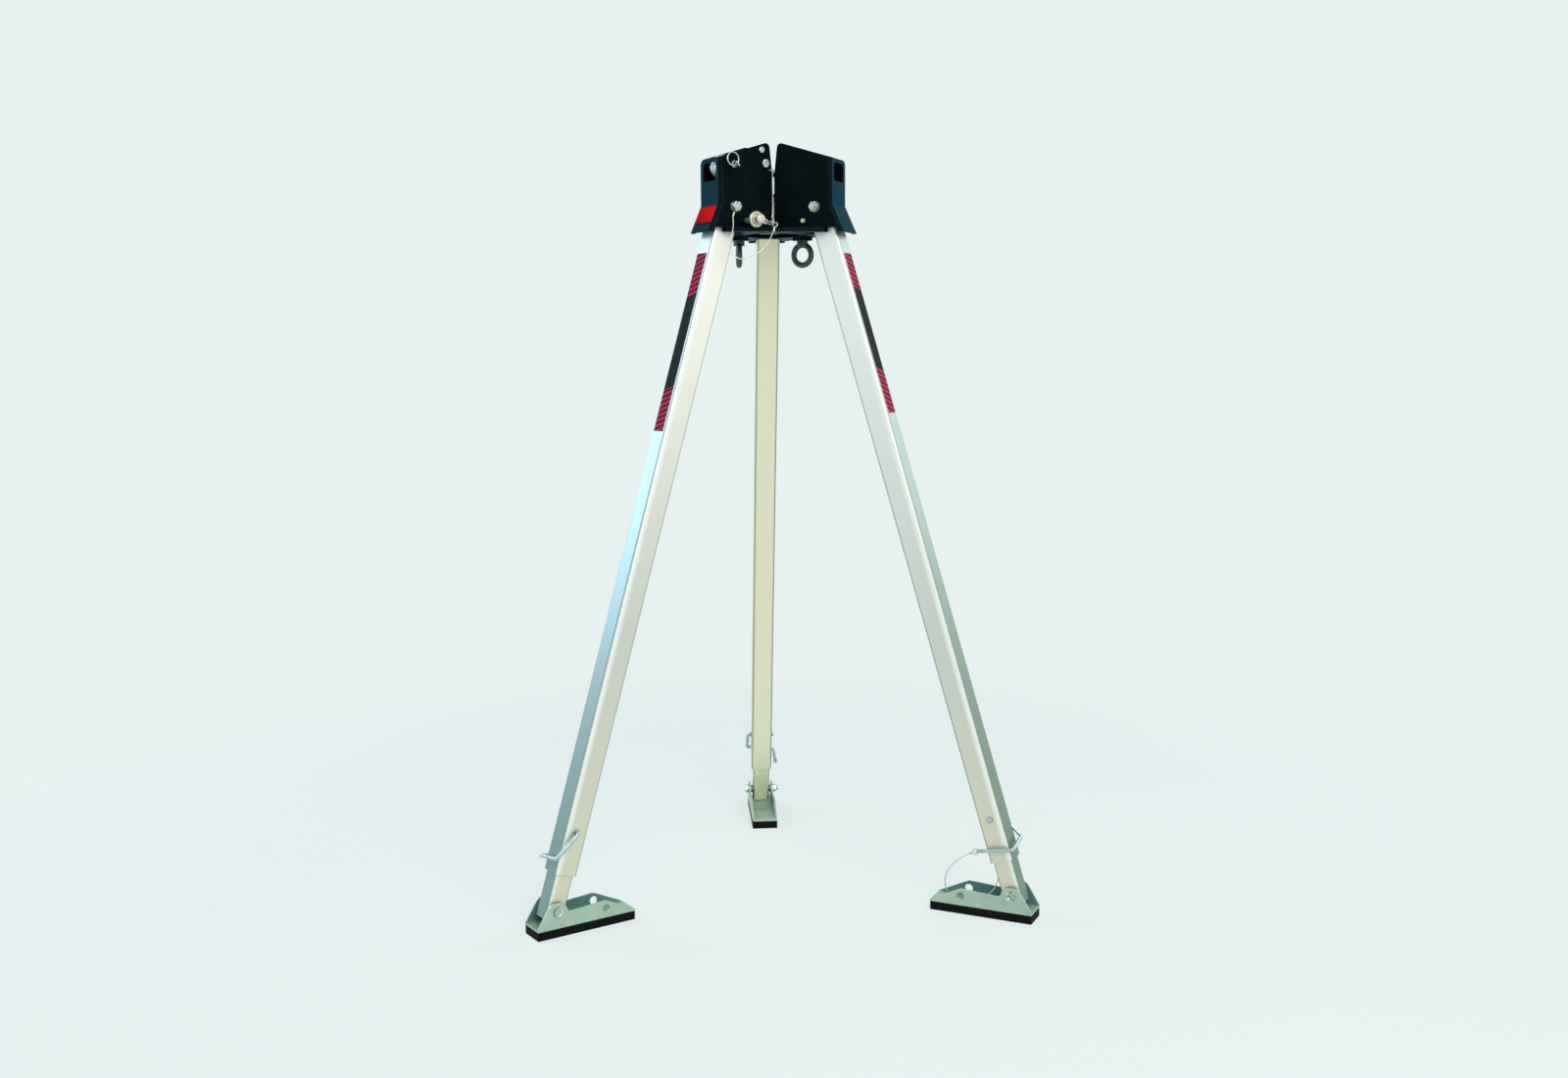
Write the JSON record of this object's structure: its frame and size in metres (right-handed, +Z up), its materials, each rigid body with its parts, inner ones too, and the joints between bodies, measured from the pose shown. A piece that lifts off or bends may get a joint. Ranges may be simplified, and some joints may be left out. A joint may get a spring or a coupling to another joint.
{
  "type": "rescue tripod",
  "caption": "Folding rescue tripod: telescopic square legs on hinged rubber-soled feet, meeting in a folded-plate head with lock pins, rope pulleys and anchor eyes.",
  "frame": {"origin": "on the floor under the middle of the bounding box", "axes": "+Z up, the rear leg towards +Y, the left leg towards -X"},
  "size_m": [1.0462, 0.906, 1.5755],
  "materials": {
    "black_coat": "satin powder coat",
    "forged": "forged, dark",
    "leg_aluminium": "satin",
    "rubber": "matt",
    "glide_plastic": "matt",
    "zinc": "zinc plated",
    "pulley_aluminium": "turned",
    "pin_steel": "satin",
    "cable": "stranded, clear coated",
    "fasteners": "zinc plated"
  },
  "bodies": {
    "head": {"bracket_left": "black_coat", "bracket_right": "black_coat", "bracket_rear": "black_coat", "base_plate": "black_coat", "pivot_bolts": "fasteners", "pivot_nuts": "fasteners", "pivot_washers": "fasteners", "eye_nut_left": "forged", "eye_nut_right": "forged", "eye_bolts": "fasteners", "eye_pads": "black_coat", "pulley_spacers": "fasteners", "inner_axle_bolt": "fasteners", "rope_keeper_bolt": "fasteners", "pulley_bolt_nuts": "fasteners", "lock_lanyard": "cable", "drop_lanyard": "cable", "head_ferrules": "cable"},
    "outer_pulley": {"outer_pulley": "pulley_aluminium"},
    "inner_pulley": {"inner_pulley": "pulley_aluminium"},
    "pulley_pin": {"pulley_pin": "fasteners"},
    "pull_ring": {"pull_ring": "fasteners"},
    "leg_left": {"outer_leg_left": "leg_aluminium", "pivot_sleeve_left": "fasteners"},
    "lower_leg_left": {"inner_leg_left": "leg_aluminium", "leg_glide_left": "glide_plastic"},
    "foot_left": {"foot_left": "zinc", "foot_pad_left": "rubber", "foot_bolt_left": "fasteners", "foot_nuts_left": "fasteners"},
    "height_pin_left": {"height_pin_left": "zinc"},
    "lock_pin_left": {"lock_pin_left": "pin_steel"},
    "lock_button_left": {"lock_button_left": "pin_steel"},
    "lock_ring_left": {"lock_ring_left": "fasteners"},
    "leg_right": {"outer_leg_right": "leg_aluminium", "pivot_sleeve_right": "fasteners", "leg_lanyard": "cable", "leg_ferrules": "cable"},
    "lower_leg_right": {"inner_leg_right": "leg_aluminium", "leg_glide_right": "glide_plastic"},
    "foot_right": {"foot_right": "zinc", "foot_pad_right": "rubber", "foot_bolt_right": "fasteners", "foot_nuts_right": "fasteners"},
    "height_pin_right": {"height_pin_right": "zinc"},
    "lock_pin_right": {"lock_pin_right": "pin_steel"},
    "lock_button_right": {"lock_button_right": "pin_steel"},
    "lock_ring_right": {"lock_ring_right": "fasteners"},
    "leg_rear": {"outer_leg_rear": "leg_aluminium", "pivot_sleeve_rear": "fasteners"},
    "lower_leg_rear": {"inner_leg_rear": "leg_aluminium", "leg_glide_rear": "glide_plastic"},
    "foot_rear": {"foot_rear": "zinc", "foot_pad_rear": "rubber", "foot_bolt_rear": "fasteners", "foot_nuts_rear": "fasteners"},
    "height_pin_rear": {"height_pin_rear": "zinc"},
    "lock_pin_rear": {"lock_pin_rear": "pin_steel"},
    "lock_button_rear": {"lock_button_rear": "pin_steel"},
    "lock_ring_rear": {"lock_ring_rear": "fasteners"}
  },
  "joints": [
    {"name": "leg_fold_left", "type": "hinge", "parent": "head", "child": "leg_left", "pos_m": [-0.10132, -0.19218, 1.44438], "axis": [0.5, -0.866, 0], "range_deg": [0, 17], "deforming": ["lock_lanyard", "drop_lanyard", "head_ferrules"]},
    {"name": "lock_pull_left", "type": "slide", "parent": "head", "child": "lock_pin_left", "axis": [0.5, -0.866, 0], "range_m": [0, 0.15], "deforming": ["lock_lanyard", "drop_lanyard", "head_ferrules"]},
    {"name": "lock_press_left", "type": "slide", "parent": "lock_pin_left", "child": "lock_button_left", "axis": [-0.5, 0.866, 0], "range_m": [0, 0.004], "stiffness_N_per_m": 1000, "springref_m": -0.002},
    {"name": "lock_ring_swing_left", "type": "hinge", "parent": "lock_pin_left", "child": "lock_ring_left", "pos_m": [-0.02094, -0.24277, 1.41336], "axis": [0.5, -0.866, 0], "range_deg": [0, 60], "deforming": ["lock_lanyard", "drop_lanyard", "head_ferrules"]},
    {"name": "leg_extend_left", "type": "slide", "parent": "leg_left", "child": "lower_leg_left", "axis": [-0.2532, -0.1462, -0.9563], "range_m": [0, 0.57]},
    {"name": "height_pin_swing_left", "type": "hinge", "parent": "leg_left", "child": "height_pin_left", "pos_m": [-0.42947, -0.38164, 0.20501], "axis": [-0.5, 0.866, 0], "range_deg": [0, 100]},
    {"name": "foot_tilt_left", "type": "hinge", "parent": "lower_leg_left", "child": "foot_left", "pos_m": [-0.46999, -0.40503, 0.052], "axis": [-0.5, 0.866, 0], "range_deg": [-25, 90]},
    {"name": "leg_fold_right", "type": "hinge", "parent": "head", "child": "leg_right", "pos_m": [0.10132, -0.19218, 1.44438], "axis": [0.5, 0.866, 0], "range_deg": [0, 17]},
    {"name": "lock_pull_right", "type": "slide", "parent": "head", "child": "lock_pin_right", "axis": [0.5, 0.866, 0], "range_m": [0, 0.15]},
    {"name": "lock_press_right", "type": "slide", "parent": "lock_pin_right", "child": "lock_button_right", "axis": [-0.5, -0.866, 0], "range_m": [0, 0.004], "stiffness_N_per_m": 1000, "springref_m": -0.002},
    {"name": "lock_ring_swing_right", "type": "hinge", "parent": "lock_pin_right", "child": "lock_ring_right", "pos_m": [0.10494, -0.09728, 1.41336], "axis": [0.5, 0.866, 0], "range_deg": [0, 60]},
    {"name": "leg_extend_right", "type": "slide", "parent": "leg_right", "child": "lower_leg_right", "axis": [0.2532, -0.1462, -0.9563], "range_m": [0, 0.57]},
    {"name": "height_pin_swing_right", "type": "hinge", "parent": "leg_right", "child": "height_pin_right", "pos_m": [0.42947, -0.38164, 0.20501], "axis": [-0.5, -0.866, 0], "range_deg": [0, 100], "deforming": ["leg_lanyard", "leg_ferrules"]},
    {"name": "foot_tilt_right", "type": "hinge", "parent": "lower_leg_right", "child": "foot_right", "pos_m": [0.46999, -0.40503, 0.052], "axis": [-0.5, -0.866, 0], "range_deg": [-25, 90], "deforming": ["leg_lanyard", "leg_ferrules"]},
    {"name": "leg_fold_rear", "type": "hinge", "parent": "head", "child": "leg_rear", "pos_m": [0, -0.01668, 1.44438], "axis": [-1, 0, 0], "range_deg": [0, 17]},
    {"name": "lock_pull_rear", "type": "slide", "parent": "head", "child": "lock_pin_rear", "axis": [-1, 0, 0], "range_m": [0, 0.15]},
    {"name": "lock_press_rear", "type": "slide", "parent": "lock_pin_rear", "child": "lock_button_rear", "axis": [1, 0, 0], "range_m": [0, 0.004], "stiffness_N_per_m": 1000, "springref_m": -0.002},
    {"name": "lock_ring_swing_rear", "type": "hinge", "parent": "lock_pin_rear", "child": "lock_ring_rear", "pos_m": [-0.084, -0.061, 1.41336], "axis": [-1, 0, 0], "range_deg": [0, 60]},
    {"name": "leg_extend_rear", "type": "slide", "parent": "leg_rear", "child": "lower_leg_rear", "axis": [0, 0.2924, -0.9563], "range_m": [0, 0.57]},
    {"name": "height_pin_swing_rear", "type": "hinge", "parent": "leg_rear", "child": "height_pin_rear", "pos_m": [0, 0.36223, 0.20501], "axis": [1, 0, 0], "range_deg": [0, 100]},
    {"name": "foot_tilt_rear", "type": "hinge", "parent": "lower_leg_rear", "child": "foot_rear", "pos_m": [0, 0.40901, 0.052], "axis": [1, 0, 0], "range_deg": [-25, 90]},
    {"name": "outer_pulley_spin", "type": "hinge", "parent": "head", "child": "outer_pulley", "pos_m": [-0.10405, -0.19375, 1.52738], "axis": [0.5, -0.866, 0], "continuous": true},
    {"name": "inner_pulley_spin", "type": "hinge", "parent": "head", "child": "inner_pulley", "pos_m": [-0.0381, -0.15568, 1.53438], "axis": [0.5, -0.866, 0], "continuous": true},
    {"name": "pulley_pin_pull", "type": "slide", "parent": "head", "child": "pulley_pin", "axis": [0.5, -0.866, 0], "range_m": [0, 0.12]},
    {"name": "pull_ring_swing", "type": "hinge", "parent": "pulley_pin", "child": "pull_ring", "pos_m": [-0.07705, -0.24052, 1.52738], "axis": [0.6124, 0.3536, 0.7071], "range_deg": [-10, 90]}
  ],
  "couplings": [
    {"joint": "lock_pull_left", "follows": "leg_fold_left", "m_per_rad": 0.5},
    {"joint": "lock_pull_right", "follows": "leg_fold_right", "m_per_rad": 0.5},
    {"joint": "lock_pull_rear", "follows": "leg_fold_rear", "m_per_rad": 0.5}
  ]
}
